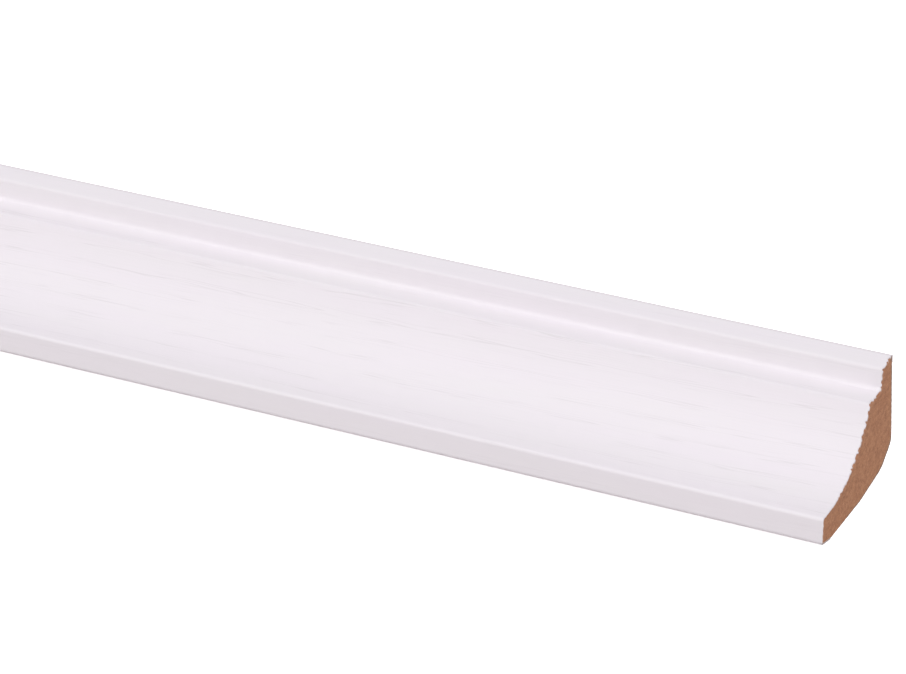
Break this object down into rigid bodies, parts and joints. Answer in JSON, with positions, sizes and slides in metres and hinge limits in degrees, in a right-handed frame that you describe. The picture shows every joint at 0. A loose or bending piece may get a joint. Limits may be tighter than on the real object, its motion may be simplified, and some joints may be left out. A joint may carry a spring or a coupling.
{
  "type": "crown moulding length",
  "caption": "Short length of stepped cove crown moulding: a fibreboard core wrapped in white wood-grain foil, sawn square at both ends, with a flat wall face and a flat ceiling face.",
  "frame": {"origin": "middle of the bare part of the flat wall face, half-way along the length", "axes": "+X along the length to the sawn end that the picture shows, +Y from the lower band to the ceiling face, +Z out from the wall; the length lies on its wall face as in the picture, and is turned a quarter about X to stand under a ceiling"},
  "size_m": [0.24, 0.04, 0.0285],
  "materials": {
    "raw_fibreboard": "raw medium-density fibreboard, dull brown, sawn on the ends and planed on the back",
    "white_ash_foil": "white decor foil with a faint printed and embossed ash grain, satin"
  },
  "bodies": {
    "root": {"mdf_core": "raw_fibreboard", "decor_foil": "white_ash_foil"}
  },
  "joints": []
}
